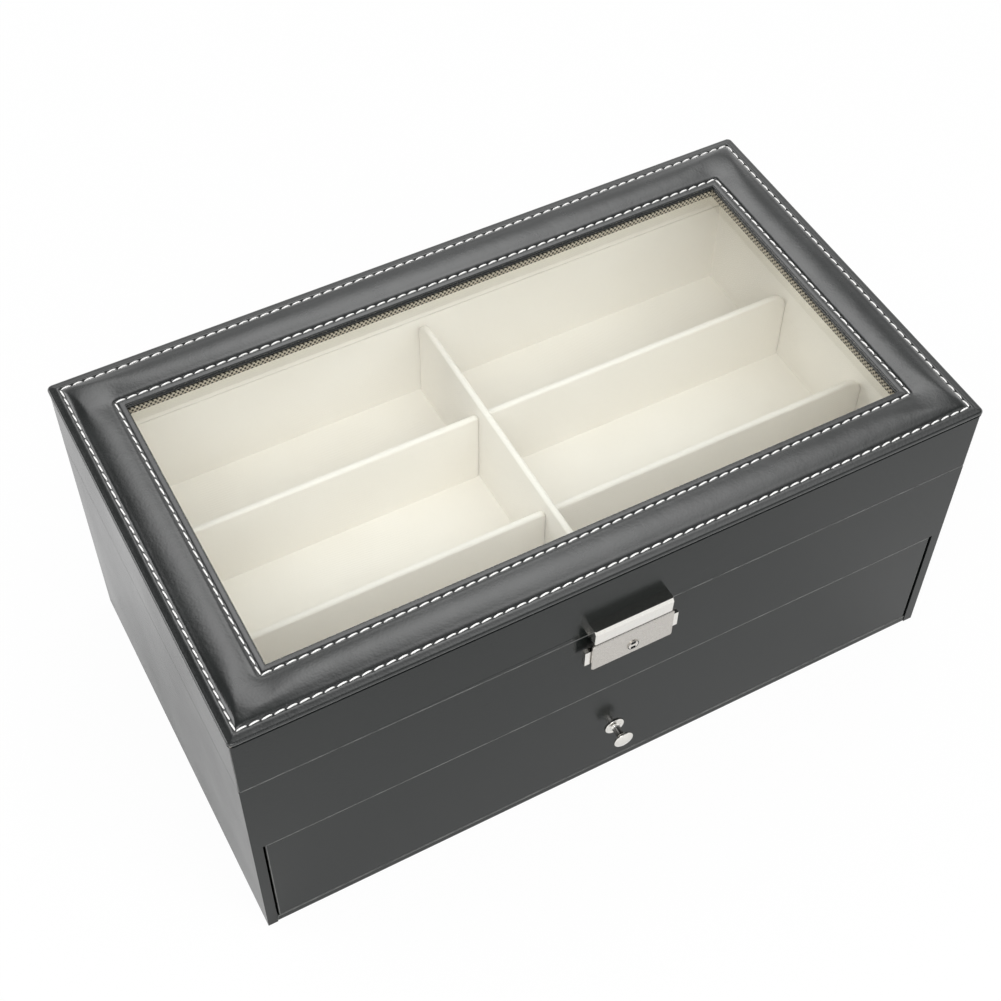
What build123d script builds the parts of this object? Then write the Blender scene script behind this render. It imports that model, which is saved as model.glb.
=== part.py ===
from build123d import *
import os

# Eyewear storage box with a glazed lid, a divided tray and a drawer. Millimetres, +Z up, front towards -Y.
# The origin is the centre of the underside of the case.

# Case: covered boards, outside sizes
case_width = 334.0
case_depth = 188.6
case_height = 115.0
wall_board = 4.5
base_board = 4.0
base_setback = 0.3
bay_height = 64.0
shelf_board = 2.5
rail_corner_width = 4.3
rail_corner_drop_left = 16.0
rail_corner_drop_right = 6.0

# Lid: four walls, a panel that carries the window, and an overhanging padded border
lid_gap = 0.4
lid_wall_height = 33.6
overhang_side = 0.5
overhang_front = 1.3
overhang_back = 2.6
border_width = 25.6
border_board = 1.6
cover_skin = 0.8
cover_edge_rise = 1.4
cover_edge_radius = 1.6
stitch_inset_outer = 4.75
stitch_inset_inner = 22.0
stitch_groove_depth = 0.35
stitch_groove_reach = 0.7
cover_crown = 1.1
cover_window_radius = 0.8
foam_play = 0.1
lid_board = 3.0
tape_thickness = 0.6
glass_thickness = 2.0
glass_lap = 8.0
glass_play = 0.3
retainer_below_glass = 2.5
retainer_setback = 4.0

# Linings and dividers
lining_floor = 1.0
lining_wall = 1.5
divider_thickness = 3.0
divider_edge_radius = 1.2
divider_near_radius = 2.4
tray_cross_drop = 3.0
tray_centre_drop = 0.0
tray_end_radius = 9.0
tray_rim_rise = 3.5
tray_rim_play = 0.3
lid_lining_lift = 0.4

# Drawer
drawer_setback = 0.3
drawer_gap_side = 1.1
drawer_gap_top = 0.8
drawer_gap_bottom = 0.4
drawer_gap_back = 2.0
drawer_box_board = 3.0
drawer_bottom_board = 2.5
drawer_wall_drop = 3.5
drawer_lining_drop = 0.8
drawer_cross_height = 46.0
drawer_centre_height = 50.0
drawer_end_radius = 6.0

# Knob
knob_height = 31.6
knob_rosette_radius = 4.7
knob_rosette_thickness = 0.9
knob_stem_radius = 1.9
knob_head_radius = 4.65
knob_head_start = 7.1
knob_head_rim = 1.5
knob_head_dome = 0.9
knob_screw_radius = 1.1
knob_screw_grip = 4.5
knob_screw_head_radius = 2.4
knob_screw_head = 1.3

# Hinges on the back face
hinge_spacing = 190.0
hinge_length = 25.0
hinge_leaf_height = 12.0
hinge_leaf = 0.8
barrel_radius = 1.6
barrel_clearance = 0.2
hinge_pin_radius = 0.8
hinge_pin_clearance = 0.05
knuckle_count = 5
knuckle_gap = 0.15
hinge_screw_radius = 0.9
hinge_screw_head_radius = 1.7
hinge_screw_length = 3.8
hinge_screw_spacing = 15.0
hinge_screw_from_edge = 4.0

# Lock: plate, housing, sliding bar with two ears, key cylinder, and the hasp on the lid
lock_plate_width = 37.8
lock_plate_height = 16.5
lock_plate_thickness = 1.0
lock_plate_below_rim = 0.3
lock_plate_radius = 1.0
lock_plate_chamfer = 0.4
housing_width = 31.0
housing_height = 15.4
housing_depth = 5.0
housing_wall = 0.8
housing_below_rim = 0.8
slider_below_rim = 4.5
slider_bar_height = 2.7
slider_thickness = 2.2
slider_behind_plate = 0.3
slider_travel = 1.8
slider_clearance = 0.3
ear_gap = 0.5
ear_reach = 2.75
ear_height = 8.6
cylinder_below_rim = 11.0
cylinder_radius = 2.3
cylinder_clearance = 0.05
cylinder_depth = 4.4
cylinder_rim_radius = 2.8
cylinder_rim = 0.3
cylinder_collar_radius = 2.7
cylinder_collar = 0.5
key_slot_width = 2.0
key_slot_height = 0.7
key_slot_offset = 1.4
key_slot_depth = 1.6
spring_offset = 7.6
spring_radius = 0.75
spring_wire = 0.3
hasp_width = 36.0
hasp_height = 8.1
hasp_above_rim = 0.3
hasp_depth = 5.9
hasp_foot_depth = 5.6
hasp_bevel_out = 1.0
hasp_bevel_down = 1.4
hasp_end_chamfer = 0.4
hook_half_width = 5.0
hook_back = 1.0
hook_thickness = 0.8
hook_below_rim = 8.0
hook_above_rim = 6.5
hook_clearance = 0.6
hook_window_half_width = 2.5
hook_window_height = 2.5
lock_screw_radius = 0.9
lock_screw_head_radius = 1.9
lock_screw_head = 1.1
lock_screw_offset = 12.3
lock_screw_grip = 1.8
hasp_screw_grip = 3.0
boss_half_width = 2.0
boss_depth = 2.1
screw_fit = 0.02

# How far a cutting shape runs past the face that it cuts
cut_over = 1.0

# Places that follow from the sizes above
half_width = case_width / 2
half_depth = case_depth / 2
inner_x = half_width - wall_board
inner_y = half_depth - wall_board
front_face = -half_depth
rail_bottom = base_board + bay_height
tray_floor = rail_bottom + shelf_board
lid_bottom = case_height + lid_gap
lid_wall_top = lid_bottom + lid_wall_height
tray_rim = case_height + tray_rim_rise
tray_cross_height = case_height - tray_cross_drop - tray_floor - lining_floor
tray_centre_height = tray_rim - tray_centre_drop - tray_floor - lining_floor
glass_top = lid_wall_top - lid_board
glass_bottom = glass_top - glass_thickness
retainer_bottom = glass_bottom - retainer_below_glass
border_x = half_width + overhang_side
border_front = front_face - overhang_front
border_back = half_depth + overhang_back
border_mid_y = (border_front + border_back) / 2
border_y = (border_back - border_front) / 2
window_x = border_x - border_width
window_y = border_y - border_width

nodes = {}


def block(x0, x1, y0, y1, z0, z1):
    """Box between two corners."""
    return Pos((x0 + x1) / 2, (y0 + y1) / 2, (z0 + z1) / 2) * Box(abs(x1 - x0), abs(y1 - y0), abs(z1 - z0))


def rod(radius, x, z, y_start, y_end):
    """Round bar along Y, from y_start to y_end."""
    length = abs(y_end - y_start)
    return Pos(x, (y_start + y_end) / 2, z) * Rot(90, 0, 0) * Cylinder(radius, length)


def ring(outer_x, outer_y, inner_x_half, inner_y_half, mid_y, z0, z1):
    """Flat rectangular frame, by half sizes."""
    outer = block(-outer_x, outer_x, mid_y - outer_y, mid_y + outer_y, z0, z1)
    return outer - block(-inner_x_half, inner_x_half, mid_y - inner_y_half, mid_y + inner_y_half,
                         z0 - cut_over, z1 + cut_over)


def mitred_wall(side, z0, z1):
    """One wall of a four-board frame as large as the case, its ends cut at 45 degrees."""
    outer = {"left": (-half_width, -half_depth), "front": (half_width, -half_depth),
             "right": (half_width, half_depth), "back": (-half_width, half_depth)}
    order = ["left", "front", "right", "back"]
    start = outer[order[order.index(side) - 1]]
    end = outer[side]
    shrink_x = inner_x / half_width
    shrink_y = inner_y / half_depth
    corners = [start, end]
    corners += [(x * shrink_x, y * shrink_y) for x, y in (end, start)]
    return extrude(Pos(0, 0, z0) * make_face(Polyline(*corners, close=True)), z1 - z0, dir=(0, 0, 1))


def screw(radius, length, head_radius, head, x, z, y_head, direction):
    """Flat-headed screw along Y: the head's outer face is at y_head and the shank goes in direction."""
    under_head = y_head + direction * head
    shank = rod(radius, x, z, under_head, y_head + direction * length)
    return rod(head_radius, x, z, y_head, under_head) + shank


def screw_hole(radius, length, head_radius, head, x, z, y_head, direction):
    """Hole that the same screw fills."""
    return screw(radius + screw_fit, length + screw_fit, head_radius + screw_fit, head, x, z, y_head,
                 direction)


# Lock positions, as distances from the front face and from the rim of the case

def front(distance):
    """Y of a point that stands distance in front of the case."""
    return front_face - distance


lock_plate_top = case_height - lock_plate_below_rim
housing_top = case_height - housing_below_rim
housing_bottom = housing_top - housing_height
slider_front = housing_depth - slider_behind_plate
slider_back = slider_front - slider_thickness
bar_top = case_height - slider_below_rim
bar_bottom = bar_top - slider_bar_height
cylinder_z = case_height - cylinder_below_rim
hasp_bottom = case_height + hasp_above_rim
hasp_screw_z = hasp_bottom + hasp_height / 2


def front_screws(z, grip, as_hole=False):
    """Pair of screws that hold a lock half, put in from inside a front wall."""
    make = screw_hole if as_hole else screw
    return [make(lock_screw_radius, wall_board + grip, lock_screw_head_radius, lock_screw_head,
                 x, z, front_face + wall_board, -1)
            for x in (-lock_screw_offset, lock_screw_offset)]


# Hinge positions: the axis lies behind the back face, level with the middle of the lid's gap

hinge_axis_y = half_depth + barrel_clearance + barrel_radius
hinge_axis_z = case_height + lid_gap / 2
hinge_screw_z = {"case": hinge_axis_z - hinge_leaf_height + hinge_screw_from_edge,
                 "lid": hinge_axis_z + hinge_leaf_height - hinge_screw_from_edge}


def hinge_screws(part, hinge_x, as_hole=False):
    """Two countersunk screws of one leaf."""
    found = []
    for x in (hinge_x - hinge_screw_spacing / 2, hinge_x + hinge_screw_spacing / 2):
        fit = screw_fit if as_hole else 0.0
        outer_face = half_depth + hinge_leaf
        shank = rod(hinge_screw_radius + fit, x, hinge_screw_z[part], outer_face - hinge_leaf,
                    outer_face - hinge_screw_length - fit)
        cone = Pos(x, outer_face - hinge_leaf / 2, hinge_screw_z[part]) * Rot(-90, 0, 0) * Cone(
            hinge_screw_radius + fit, hinge_screw_head_radius + fit, hinge_leaf)
        found.append(shank + cone)
    return found


# Case boards

def rounded_corner_waste(side, drop):
    """What is cut from a lower corner of the rail to round it: a quarter oval."""
    x_edge = side * half_width
    x_in = x_edge - side * rail_corner_width
    oval = Pos(x_in, 0, rail_bottom + drop) * Rot(90, 0, 0) * extrude(
        Ellipse(rail_corner_width, drop), case_depth, both=True)
    corner = block(x_in, x_edge + side * cut_over, -case_depth, case_depth, rail_bottom - cut_over,
                   rail_bottom + drop)
    return corner - oval


def make_rail():
    """Front board above the drawer, mitred into the side boards, with rounded lower corners."""
    rail = mitred_wall("front", rail_bottom, case_height)
    rail -= rounded_corner_waste(-1, rail_corner_drop_left)
    rail -= rounded_corner_waste(1, rail_corner_drop_right)
    return rail


plain_rail = make_rail()
plain_back = mitred_wall("back", 0, case_height)
nodes["base_panel"] = block(-inner_x, inner_x, front_face + base_setback, inner_y, 0, base_board)
left_board = block(-half_width, -inner_x, front_face, half_depth, 0, case_height)
right_board = block(inner_x, half_width, front_face, half_depth, 0, case_height)
nodes["side_panel_left"] = left_board - plain_rail - plain_back
nodes["side_panel_right"] = right_board - plain_rail - plain_back
nodes["tray_shelf"] = block(-inner_x, inner_x, -inner_y, inner_y, rail_bottom, tray_floor)

rail = plain_rail
for hole in front_screws(cylinder_z, lock_screw_grip, as_hole=True):
    rail -= hole
nodes["front_rail"] = rail

back = plain_back
for hinge_x in (-hinge_spacing / 2, hinge_spacing / 2):
    for hole in hinge_screws("case", hinge_x, as_hole=True):
        back -= hole
nodes["back_panel"] = back


# Linings and dividers, alike in the tray and in the drawer

def divider(length, height, end_radius, near_radius):
    """Lined board standing on XY along X, its top edge rounded and its upper end corners cut round."""
    outline = Rectangle(length, height, align=(Align.CENTER, Align.MIN))
    top = outline.vertices().group_by(Axis.Y)[-1].sort_by(Axis.X)
    outline = fillet(top[0], near_radius)
    top = outline.vertices().sort_by(Axis.X).group_by(Axis.X)[-1].sort_by(Axis.Y)[-1]
    outline = fillet(top, end_radius)
    board = extrude(Rot(90, 0, 0) * outline, divider_thickness / 2, both=True)
    around = board.faces().filter_by(Axis.Y).edges().filter_by(Axis.Z, reverse=True)
    rim = [edge for edge in around if edge.center().Z > divider_edge_radius]
    return fillet(rim, divider_edge_radius)


def fit_out(prefix, half_x, y0, y1, floor, wall_top, cross_height, centre_height, end_radius):
    """Lining and dividers of a compartment whose boards leave half_x and y0 to y1 clear above floor."""
    lined_floor = floor + lining_floor
    mid_y = (y0 + y1) / 2
    half_y = (y1 - y0) / 2
    inside_x = half_x - lining_wall
    inside_y = half_y - lining_wall
    nodes[prefix + "_floor_lining"] = block(-half_x, half_x, y0, y1, floor, lined_floor)
    nodes[prefix + "_wall_lining"] = ring(half_x, half_y, inside_x, inside_y, mid_y, lined_floor, wall_top)
    centre = divider(2 * inside_y, centre_height, end_radius, end_radius)
    nodes[prefix + "_centre_divider"] = Pos(0, mid_y, lined_floor) * Rot(0, 0, 90) * centre
    rows = {"front": -1, "rear": 1}
    cell_depth = (2 * inside_y - len(rows) * divider_thickness) / (len(rows) + 1)
    row_offset = (cell_depth + divider_thickness) / 2
    cross_length = inside_x - divider_thickness / 2
    cross_x = (inside_x + divider_thickness / 2) / 2
    for side, turn, x in (("left", 180, -cross_x), ("right", 0, cross_x)):
        for row, way in rows.items():
            board = divider(cross_length, cross_height, end_radius, divider_near_radius)
            place = Pos(x, mid_y + way * row_offset, lined_floor)
            nodes[f"{prefix}_divider_{side}_{row}"] = place * Rot(0, 0, turn) * board


fit_out("tray", inner_x, -inner_y, inner_y, tray_floor, case_height, tray_cross_height, tray_centre_height,
        tray_end_radius)
# The tray's walls stand up past the rim of the case, clear of the lid's walls, and meet the lid's lining.
nodes["tray_wall_lining"] += ring(inner_x - tray_rim_play, inner_y - tray_rim_play, inner_x - lining_wall,
                                  inner_y - lining_wall, 0, case_height, tray_rim)


# Drawer: a front board with a box behind it

drawer_x = inner_x - drawer_gap_side
drawer_face = front_face + drawer_setback
drawer_front_back = drawer_face + wall_board
drawer_rear = inner_y - drawer_gap_back
drawer_low = base_board + drawer_gap_bottom
drawer_top = rail_bottom - drawer_gap_top
drawer_wall_top = rail_bottom - drawer_wall_drop
drawer_floor = drawer_low + drawer_bottom_board
drawer_inner_x = drawer_x - drawer_box_board
drawer_inner_rear = drawer_rear - drawer_box_board

knob_base = drawer_face
knob_screw_seat = drawer_front_back
knob_screw_length = wall_board + knob_rosette_thickness + knob_screw_grip


def knob_screw(as_hole=False):
    """Screw from inside the drawer front into the knob's stem."""
    make = screw_hole if as_hole else screw
    return make(knob_screw_radius, knob_screw_length, knob_screw_head_radius, knob_screw_head,
                0, knob_height, knob_screw_seat, -1)


nodes["drawer_front"] = block(-drawer_x, drawer_x, drawer_face, drawer_front_back, drawer_low,
                              drawer_top) - knob_screw(as_hole=True)
nodes["drawer_side_left"] = block(-drawer_x, -drawer_inner_x, drawer_front_back, drawer_rear, drawer_low,
                                  drawer_wall_top)
nodes["drawer_side_right"] = block(drawer_inner_x, drawer_x, drawer_front_back, drawer_rear, drawer_low,
                                   drawer_wall_top)
nodes["drawer_back"] = block(-drawer_inner_x, drawer_inner_x, drawer_inner_rear, drawer_rear, drawer_low,
                             drawer_wall_top)
nodes["drawer_bottom"] = block(-drawer_inner_x, drawer_inner_x, drawer_front_back, drawer_inner_rear,
                               drawer_low, drawer_floor)
fit_out("drawer", drawer_inner_x, drawer_front_back, drawer_inner_rear, drawer_floor,
        drawer_wall_top - drawer_lining_drop, drawer_cross_height, drawer_centre_height, drawer_end_radius)


def make_knob():
    """Turned knob: a stem and a flat head with a low dome, drilled for the screw."""
    stem_start = knob_base - knob_rosette_thickness
    head_start = knob_base - knob_head_start
    rim_end = head_start - knob_head_rim
    stem = rod(knob_stem_radius, 0, knob_height, stem_start, head_start)
    head = rod(knob_head_radius, 0, knob_height, head_start, rim_end)
    dome_radius = (knob_head_radius ** 2 + knob_head_dome ** 2) / (2 * knob_head_dome)
    ball = Pos(0, rim_end - knob_head_dome + dome_radius, knob_height) * Sphere(dome_radius)
    dome = ball & rod(knob_head_radius, 0, knob_height, rim_end, rim_end - knob_head_dome)
    return stem + head + dome - knob_screw(as_hole=True)


rosette = rod(knob_rosette_radius, 0, knob_height, knob_base, knob_base - knob_rosette_thickness)
nodes["knob_rosette"] = rosette - knob_screw(as_hole=True)
nodes["drawer_knob"] = make_knob()
nodes["knob_screw"] = knob_screw()


# Lid walls and lining

for side in ("front", "left", "right"):
    nodes["lid_wall_" + side] = mitred_wall(side, lid_bottom, lid_wall_top)
for hole in front_screws(hasp_screw_z, hasp_screw_grip, as_hole=True):
    nodes["lid_wall_front"] -= hole
lid_back = mitred_wall("back", lid_bottom, lid_wall_top)
for hinge_x in (-hinge_spacing / 2, hinge_spacing / 2):
    for hole in hinge_screws("lid", hinge_x, as_hole=True):
        lid_back -= hole
nodes["lid_wall_back"] = lid_back
nodes["lid_wall_lining"] = ring(inner_x, inner_y, inner_x - lining_wall, inner_y - lining_wall, 0,
                                tray_rim + lid_lining_lift, retainer_bottom)


# Window: panel, woven edge tape, glass and the frame that holds it from below

panel_window_x = window_x + tape_thickness
panel_window_y = window_y + tape_thickness


def around_window(half_x, half_y, z0, z1):
    """Block as large as a hole around the window."""
    return block(-half_x, half_x, border_mid_y - half_y, border_mid_y + half_y, z0, z1)


nodes["lid_panel"] = block(-inner_x, inner_x, -inner_y, inner_y, glass_top, lid_wall_top) - around_window(
    panel_window_x, panel_window_y, glass_top - cut_over, lid_wall_top + cut_over)
nodes["window_tape"] = ring(panel_window_x, panel_window_y, window_x, window_y, border_mid_y, glass_top,
                            lid_wall_top)
nodes["window_glass"] = around_window(window_x + glass_lap, window_y + glass_lap, glass_bottom, glass_top)
retainer = block(-inner_x, inner_x, -inner_y, inner_y, retainer_bottom, glass_top)
retainer -= around_window(window_x + glass_lap + glass_play, window_y + glass_lap + glass_play,
                          glass_bottom, glass_top + cut_over)
nodes["glass_retainer"] = retainer - around_window(window_x + retainer_setback, window_y + retainer_setback,
                                                   retainer_bottom - cut_over, glass_top)


# Padded border: a thin board, a foam roll and a stitched covering that wraps the board's edges

border_top = lid_wall_top + border_board + cover_edge_rise
gore_height = border_top + cover_crown + cut_over


def mitred_border(profile):
    """Section, inset across and height up, run round all four sides with mitred corners."""
    outer = [(-border_x, border_front), (border_x, border_front),
             (border_x, border_back), (-border_x, border_back)]
    window = [(-window_x, border_mid_y - window_y), (window_x, border_mid_y - window_y),
              (window_x, border_mid_y + window_y), (-window_x, border_mid_y + window_y)]
    made = None
    for side in range(4):
        start, end = outer[side], outer[(side + 1) % 4]
        inner_start, inner_end = window[side], window[(side + 1) % 4]
        along = Vector(end[0] - start[0], end[1] - start[1], 0)
        across = Vector(0, 0, 1).cross(along.normalized())
        section_plane = Plane(origin=(start[0], start[1], 0), x_dir=across,
                              z_dir=across.cross(Vector(0, 0, 1)))
        bar = extrude(section_plane * profile, along.length, dir=along.normalized())
        gore = extrude(make_face(Polyline(start, end, inner_end, inner_start, close=True)), gore_height,
                       dir=(0, 0, 1))
        made = bar & gore if made is None else made + (bar & gore)
    return made


def crown(play):
    """Low arch between the two seams, kept back from them and from the covering by play."""
    left = stitch_inset_outer + stitch_groove_reach + play
    right = stitch_inset_inner - stitch_groove_reach - play
    return left, right, ThreePointArc((left, 0), ((left + right) / 2, cover_crown - play), (right, 0))


def make_foam():
    """Foam roll on the board between the two seams."""
    left, right, arch = crown(foam_play)
    face = make_face([arch, Line((right, 0), (left, 0))])
    return mitred_border(Pos(0, lid_wall_top + border_board) * face)


def make_cover():
    """Covering: wraps the outer edge, follows the foam between its seams and turns down at the window."""
    low = lid_wall_top
    flat = lid_wall_top + border_board
    top = flat + cover_edge_rise
    seam = top - stitch_groove_depth
    left, right, arch = crown(0)
    window_edge = border_width
    inner_face = window_edge - cover_skin
    outline = [
        Line((0, low), (0, top - cover_edge_radius)),
        RadiusArc((0, top - cover_edge_radius), (cover_edge_radius, top), cover_edge_radius),
        Line((cover_edge_radius, top), (stitch_inset_outer - stitch_groove_reach, top)),
        Line((stitch_inset_outer - stitch_groove_reach, top), (stitch_inset_outer, seam)),
        Line((stitch_inset_outer, seam), (left, flat + cover_skin)),
        Pos(0, flat + cover_skin) * arch,
        Line((right, flat + cover_skin), (stitch_inset_inner, seam)),
        Line((stitch_inset_inner, seam), (stitch_inset_inner + stitch_groove_reach, top)),
        Line((stitch_inset_inner + stitch_groove_reach, top), (window_edge - cover_window_radius, top)),
        RadiusArc((window_edge - cover_window_radius, top), (window_edge, top - cover_window_radius),
                  cover_window_radius),
        Line((window_edge, top - cover_window_radius), (window_edge, low)),
        Line((window_edge, low), (inner_face, low)),
        Line((inner_face, low), (inner_face, flat)),
        Line((inner_face, flat), (right, flat)),
        Pos(0, flat) * arch,
        Line((left, flat), (cover_skin, flat)),
        Line((cover_skin, flat), (cover_skin, low)),
        Line((cover_skin, low), (0, low)),
    ]
    return mitred_border(make_face(outline))


nodes["top_board"] = ring(border_x - cover_skin, border_y - cover_skin, window_x + cover_skin,
                          window_y + cover_skin, border_mid_y, lid_wall_top, lid_wall_top + border_board)
nodes["border_foam"] = make_foam()
nodes["top_cover"] = make_cover()


# Hinges

def knuckle(index, hinge_x, grow=0.0):
    """One length of the barrel, counted from the left end."""
    pitch = hinge_length / knuckle_count
    low = hinge_x - hinge_length / 2 + index * pitch + knuckle_gap / 2
    high = low + pitch - knuckle_gap
    length = high - low + 2 * grow
    barrel = Cylinder(barrel_radius + grow, length)
    return Pos((low + high) / 2, hinge_axis_y, hinge_axis_z) * Rot(0, 90, 0) * barrel


def leaf(part, hinge_x):
    """Plate on the back face with its share of the knuckles; the case takes the odd ones out."""
    up = 1 if part == "lid" else -1
    own = range(1, knuckle_count, 2) if part == "lid" else range(0, knuckle_count, 2)
    other = range(0, knuckle_count, 2) if part == "lid" else range(1, knuckle_count, 2)
    plate = block(hinge_x - hinge_length / 2, hinge_x + hinge_length / 2, half_depth,
                  half_depth + hinge_leaf, hinge_axis_z, hinge_axis_z + up * hinge_leaf_height)
    for index in other:
        pitch = hinge_length / knuckle_count
        low = hinge_x - hinge_length / 2 + index * pitch - knuckle_gap / 2
        reach = barrel_radius + barrel_clearance
        plate -= block(low, low + pitch + knuckle_gap, half_depth - cut_over,
                       half_depth + hinge_leaf + cut_over, hinge_axis_z - up * cut_over,
                       hinge_axis_z + up * reach)
    for index in own:
        plate += knuckle(index, hinge_x)
    bore = Pos(hinge_x, hinge_axis_y, hinge_axis_z) * Rot(0, 90, 0) * Cylinder(
        hinge_pin_radius + hinge_pin_clearance, hinge_length + 2 * cut_over)
    plate -= bore
    for hole in hinge_screws(part, hinge_x, as_hole=True):
        plate -= hole
    return plate


case_screws = []
lid_screws = []
for name, hinge_x in (("left", -hinge_spacing / 2), ("right", hinge_spacing / 2)):
    nodes[f"hinge_{name}_case_leaf"] = leaf("case", hinge_x)
    nodes[f"hinge_{name}_lid_leaf"] = leaf("lid", hinge_x)
    nodes[f"hinge_{name}_pin"] = Pos(hinge_x, hinge_axis_y, hinge_axis_z) * Rot(0, 90, 0) * Cylinder(
        hinge_pin_radius, hinge_length)
    case_screws += hinge_screws("case", hinge_x)
    lid_screws += hinge_screws("lid", hinge_x)
nodes["hinge_case_screws"] = Compound(case_screws)
nodes["hinge_lid_screws"] = Compound(lid_screws)


# Lock on the rail

def make_lock_plate():
    """Face plate with bevelled edges and a hole for the key cylinder."""
    middle = lock_plate_top - lock_plate_height / 2
    outline = RectangleRounded(lock_plate_width, lock_plate_height, lock_plate_radius)
    plate = extrude(Plane.XZ * outline, lock_plate_thickness)
    plate = chamfer(plate.faces().sort_by(Axis.Y)[0].edges(), lock_plate_chamfer)
    plate = Pos(0, front(housing_depth), middle) * plate
    return plate - rod(cylinder_radius + cylinder_clearance, 0, cylinder_z, front(0),
                       front(housing_depth + lock_plate_thickness + cut_over))


def make_housing():
    """Frame behind the plate: notched sides for the bar, a slot on top for the hook and two screw bosses."""
    half = housing_width / 2
    frame = block(-half, half, front(0), front(housing_depth), housing_bottom, housing_top)
    frame -= block(-half + housing_wall, half - housing_wall, front(-cut_over),
                   front(housing_depth + cut_over), housing_bottom + housing_wall,
                   housing_top - housing_wall)
    slot_x = hook_half_width + hook_clearance
    frame -= block(-slot_x, slot_x, front(-cut_over), front(hook_back + hook_thickness + hook_clearance),
                   housing_top - housing_wall - cut_over, housing_top + cut_over)
    frame -= block(-half - cut_over, half + cut_over, front(slider_back - slider_clearance),
                   front(housing_depth + cut_over), bar_bottom - slider_travel - slider_clearance,
                   bar_top + slider_clearance)
    for x in (-lock_screw_offset, lock_screw_offset):
        frame += block(x - boss_half_width, x + boss_half_width, front(0), front(boss_depth),
                       housing_bottom + housing_wall / 2, cylinder_z + boss_half_width)
    for hole in front_screws(cylinder_z, lock_screw_grip, as_hole=True):
        frame -= hole
    return frame


def make_slider():
    """Bar through the housing, relieved over the key cylinder, with an ear at each end for a finger."""
    ear_inner = housing_width / 2 + ear_gap
    ear_outer = lock_plate_width / 2 + ear_reach
    bar = block(-ear_outer, ear_outer, front(slider_back), front(slider_front), bar_bottom, bar_top)
    relief_x = cylinder_collar_radius + slider_clearance
    relief_top = cylinder_z + cylinder_collar_radius + slider_clearance + slider_travel
    bar -= block(-relief_x, relief_x, front(0), front(housing_depth), bar_bottom - cut_over, relief_top)
    for side in (-1, 1):
        bar += block(side * ear_inner, side * ear_outer, front(slider_back), front(slider_front),
                     bar_top - ear_height, bar_top)
    return bar


def make_cylinder():
    """Key cylinder: a rim outside the plate and a collar inside keep it there; two slots take the key."""
    plate_front = housing_depth + lock_plate_thickness
    rim_back = plate_front + cylinder_clearance
    face = rim_back + cylinder_rim
    collar_front = housing_depth - cylinder_clearance
    plug = rod(cylinder_radius, 0, cylinder_z, front(rim_back), front(rim_back - cylinder_depth))
    plug += rod(cylinder_rim_radius, 0, cylinder_z, front(face), front(rim_back))
    collar_back = collar_front - cylinder_collar
    plug += rod(cylinder_collar_radius, 0, cylinder_z, front(collar_front), front(collar_back))
    for z in (cylinder_z - key_slot_offset, cylinder_z + key_slot_offset):
        plug -= block(-key_slot_width / 2, key_slot_width / 2, front(face + cut_over),
                      front(face - key_slot_depth), z - key_slot_height / 2, z + key_slot_height / 2)
    return plug


def make_springs():
    """The two return springs under the bar, each as its outer sleeve."""
    low = housing_bottom + housing_wall
    made = []
    for x in (-spring_offset, spring_offset):
        sleeve = Cylinder(spring_radius, bar_bottom - low)
        sleeve -= Cylinder(spring_radius - spring_wire, bar_bottom - low)
        made.append(Pos(x, front((slider_back + slider_front) / 2), (bar_bottom + low) / 2) * sleeve)
    return Compound(made)


nodes["lock_plate"] = make_lock_plate()
nodes["lock_housing"] = make_housing()
nodes["lock_slider"] = make_slider()
nodes["lock_cylinder"] = make_cylinder()
nodes["lock_springs"] = make_springs()
nodes["lock_screws"] = Compound(front_screws(cylinder_z, lock_screw_grip))


# Hasp on the lid

def make_hook():
    """Flat tongue with a catch window, held in a slot of the hasp."""
    low = case_height - hook_below_rim
    tongue = block(-hook_half_width, hook_half_width, front(hook_back), front(hook_back + hook_thickness),
                   low, case_height + hook_above_rim)
    window_low = low + hook_thickness
    return tongue - block(-hook_window_half_width, hook_window_half_width, front(0), front(hasp_depth),
                          window_low, window_low + hook_window_height)


def make_hasp():
    """Cast block with a bevel along its top edge and a front that falls back a little towards its foot."""
    top = hasp_bottom + hasp_height
    corners = [(0, hasp_bottom), (hasp_foot_depth, hasp_bottom), (hasp_depth, top - hasp_bevel_down),
               (hasp_depth - hasp_bevel_out, top), (0, top)]
    points = [(-hasp_width / 2, front(distance), z) for distance, z in corners]
    body = extrude(make_face(Polyline(*points, close=True)), hasp_width, dir=(1, 0, 0))
    ends = [edge for edge in body.edges().filter_by(Axis.X, reverse=True)
            if edge.center().Y < front(hasp_depth - hasp_bevel_out)]
    body = chamfer(ends, hasp_end_chamfer)
    body -= block(-hook_half_width, hook_half_width, front(hook_back), front(hook_back + hook_thickness),
                  hasp_bottom - cut_over, case_height + hook_above_rim)
    for hole in front_screws(hasp_screw_z, hasp_screw_grip, as_hole=True):
        body -= hole
    return body


nodes["lid_hasp"] = make_hasp()
nodes["hasp_hook"] = make_hook()
nodes["hasp_screws"] = Compound(front_screws(hasp_screw_z, hasp_screw_grip))


os.makedirs("parts", exist_ok=True)
for name, shape in nodes.items():
    export_step(shape, f"parts/{name}.step")
print(len(nodes), "nodes")
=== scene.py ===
import math

import bpy
from mathutils import Matrix, Vector, noise


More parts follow.
